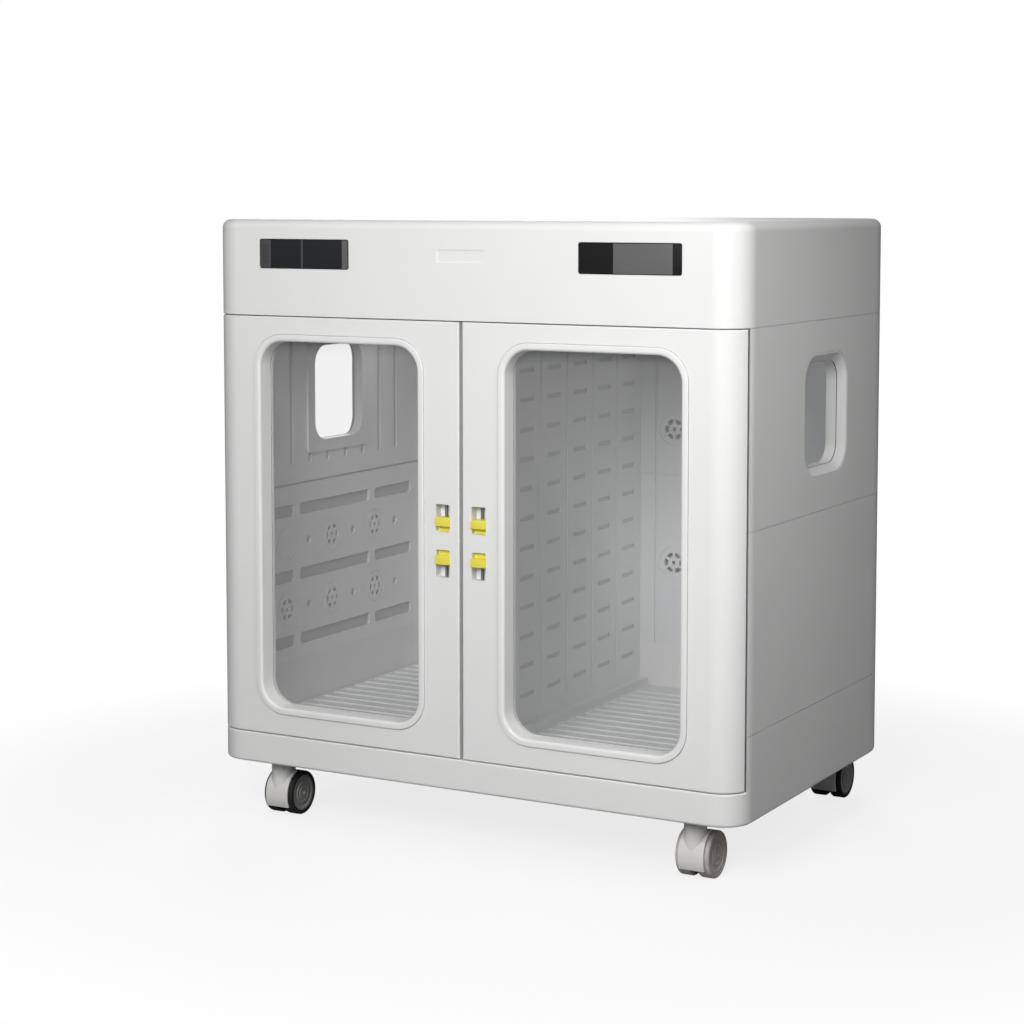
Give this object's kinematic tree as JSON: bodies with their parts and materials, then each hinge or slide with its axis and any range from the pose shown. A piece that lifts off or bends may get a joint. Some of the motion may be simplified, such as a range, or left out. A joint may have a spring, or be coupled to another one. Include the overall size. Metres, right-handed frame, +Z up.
{
  "type": "warming cabinet",
  "caption": "Plastic warming cabinet with two bays, clear-windowed hinged doors with slide latches, a control head, side hand windows and swivel casters.",
  "frame": {"origin": "on the floor under the middle of the cabinet", "axes": "+X to the right seen from the front, -Y towards the front where the doors are, +Z up"},
  "size_m": [0.78, 0.544, 0.82],
  "materials": {
    "cabinet_white": "satin moulded plastic with a fine grain",
    "liner_white": "satin moulded plastic",
    "clear_pane": "clear acrylic sheet",
    "display_black": "gloss dark window",
    "black_plastic": "matte black plastic",
    "circuit_board": "green board",
    "bright_metal": "zinc plated steel",
    "latch_yellow": "satin yellow plastic",
    "seal_rubber": "soft grey rubber",
    "hood_grey": "satin light grey plastic",
    "caster_tyre": "black tread on a grey hub"
  },
  "bodies": {
    "cabinet": {"base_tray": "cabinet_white", "caster_plates": "bright_metal", "caster_screws": "bright_metal", "centre_post": "liner_white", "chamber_ceiling": "liner_white", "controller_board": "circuit_board", "display_left": "display_black", "display_right": "display_black", "divider": "liner_white", "divider_rails": "liner_white", "fan_housings": "black_plastic", "floor_panel_left": "liner_white", "floor_panel_right": "liner_white", "hand_window_frame_left": "cabinet_white", "hand_window_frame_right": "cabinet_white", "head_shell": "cabinet_white", "heaters": "bright_metal", "hinge_pins": "bright_metal", "liner_left": "liner_white", "liner_rear": "liner_white", "liner_right": "liner_white", "power_inlet": "black_plastic", "power_supply": "bright_metal", "rear_panel": "cabinet_white", "side_panel_left_lower": "cabinet_white", "side_panel_left_upper": "cabinet_white", "side_panel_right_lower": "cabinet_white", "side_panel_right_upper": "cabinet_white", "temperature_probes": "bright_metal"},
    "door_left": {"door_shell_left": "cabinet_white", "door_liner_left": "cabinet_white", "door_window_left": "clear_pane", "window_bezel_left": "cabinet_white", "door_seal_left": "seal_rubber", "latch_guides_left": "liner_white"},
    "slide_left_upper": {"latch_left_upper": "latch_yellow"},
    "slide_left_lower": {"latch_left_lower": "latch_yellow"},
    "fan_left": {"impeller_left": "black_plastic"},
    "door_right": {"door_shell_right": "cabinet_white", "door_liner_right": "cabinet_white", "door_window_right": "clear_pane", "window_bezel_right": "cabinet_white", "door_seal_right": "seal_rubber", "latch_guides_right": "liner_white"},
    "slide_right_upper": {"latch_right_upper": "latch_yellow"},
    "slide_right_lower": {"latch_right_lower": "latch_yellow"},
    "fan_right": {"impeller_right": "black_plastic"},
    "rocker": {"power_switch": "black_plastic"},
    "swivel_front_left": {"caster_hood_front_left": "hood_grey"},
    "roller_front_left_left": {"wheel_front_left_left": "caster_tyre"},
    "roller_front_left_right": {"wheel_front_left_right": "caster_tyre"},
    "swivel_front_right": {"caster_hood_front_right": "hood_grey"},
    "roller_front_right_left": {"wheel_front_right_left": "caster_tyre"},
    "roller_front_right_right": {"wheel_front_right_right": "caster_tyre"},
    "swivel_rear_left": {"caster_hood_rear_left": "hood_grey"},
    "roller_rear_left_left": {"wheel_rear_left_left": "caster_tyre"},
    "roller_rear_left_right": {"wheel_rear_left_right": "caster_tyre"},
    "swivel_rear_right": {"caster_hood_rear_right": "hood_grey"},
    "roller_rear_right_left": {"wheel_rear_right_left": "caster_tyre"},
    "roller_rear_right_right": {"wheel_rear_right_right": "caster_tyre"}
  },
  "joints": [
    {"name": "door_left_hinge", "type": "hinge", "parent": "cabinet", "child": "door_left", "pos_m": [-0.377, -0.247, 0.4], "axis": [0, 0, -1], "range_deg": [0, 110]},
    {"name": "latch_left_upper_slide", "type": "slide", "parent": "door_left", "child": "slide_left_upper", "axis": [0, 0, 1], "range_m": [0, 0.0168]},
    {"name": "latch_left_lower_slide", "type": "slide", "parent": "door_left", "child": "slide_left_lower", "axis": [0, 0, -1], "range_m": [0, 0.0168]},
    {"name": "fan_left_spin", "type": "hinge", "parent": "cabinet", "child": "fan_left", "pos_m": [-0.19, 0.06, 0.71], "axis": [0, 0, 1], "continuous": true},
    {"name": "door_right_hinge", "type": "hinge", "parent": "cabinet", "child": "door_right", "pos_m": [0.377, -0.247, 0.4], "axis": [0, 0, 1], "range_deg": [0, 110]},
    {"name": "latch_right_upper_slide", "type": "slide", "parent": "door_right", "child": "slide_right_upper", "axis": [0, 0, 1], "range_m": [0, 0.0168]},
    {"name": "latch_right_lower_slide", "type": "slide", "parent": "door_right", "child": "slide_right_lower", "axis": [0, 0, -1], "range_m": [0, 0.0168]},
    {"name": "fan_right_spin", "type": "hinge", "parent": "cabinet", "child": "fan_right", "pos_m": [0.19, 0.06, 0.71], "axis": [0, 0, 1], "continuous": true},
    {"name": "power_switch_rock", "type": "hinge", "parent": "cabinet", "child": "rocker", "pos_m": [-0.07, 0.266, 0.748], "axis": [1, 0, 0], "range_deg": [0, 16]},
    {"name": "caster_front_left_swivel", "type": "hinge", "parent": "cabinet", "child": "swivel_front_left", "pos_m": [-0.312, -0.224, 0.07], "axis": [0, 0, 1], "continuous": true},
    {"name": "wheel_front_left_left_spin", "type": "hinge", "parent": "swivel_front_left", "child": "roller_front_left_left", "pos_m": [-0.326, -0.206, 0.03], "axis": [1, 0, 0], "continuous": true},
    {"name": "wheel_front_left_right_spin", "type": "hinge", "parent": "swivel_front_left", "child": "roller_front_left_right", "pos_m": [-0.298, -0.206, 0.03], "axis": [1, 0, 0], "continuous": true},
    {"name": "caster_front_right_swivel", "type": "hinge", "parent": "cabinet", "child": "swivel_front_right", "pos_m": [0.312, -0.224, 0.07], "axis": [0, 0, 1], "continuous": true},
    {"name": "wheel_front_right_left_spin", "type": "hinge", "parent": "swivel_front_right", "child": "roller_front_right_left", "pos_m": [0.298, -0.206, 0.03], "axis": [1, 0, 0], "continuous": true},
    {"name": "wheel_front_right_right_spin", "type": "hinge", "parent": "swivel_front_right", "child": "roller_front_right_right", "pos_m": [0.326, -0.206, 0.03], "axis": [1, 0, 0], "continuous": true},
    {"name": "caster_rear_left_swivel", "type": "hinge", "parent": "cabinet", "child": "swivel_rear_left", "pos_m": [-0.312, 0.224, 0.07], "axis": [0, 0, 1], "continuous": true},
    {"name": "wheel_rear_left_left_spin", "type": "hinge", "parent": "swivel_rear_left", "child": "roller_rear_left_left", "pos_m": [-0.326, 0.242, 0.03], "axis": [1, 0, 0], "continuous": true},
    {"name": "wheel_rear_left_right_spin", "type": "hinge", "parent": "swivel_rear_left", "child": "roller_rear_left_right", "pos_m": [-0.298, 0.242, 0.03], "axis": [1, 0, 0], "continuous": true},
    {"name": "caster_rear_right_swivel", "type": "hinge", "parent": "cabinet", "child": "swivel_rear_right", "pos_m": [0.312, 0.224, 0.07], "axis": [0, 0, 1], "continuous": true},
    {"name": "wheel_rear_right_left_spin", "type": "hinge", "parent": "swivel_rear_right", "child": "roller_rear_right_left", "pos_m": [0.298, 0.242, 0.03], "axis": [1, 0, 0], "continuous": true},
    {"name": "wheel_rear_right_right_spin", "type": "hinge", "parent": "swivel_rear_right", "child": "roller_rear_right_right", "pos_m": [0.326, 0.242, 0.03], "axis": [1, 0, 0], "continuous": true}
  ]
}
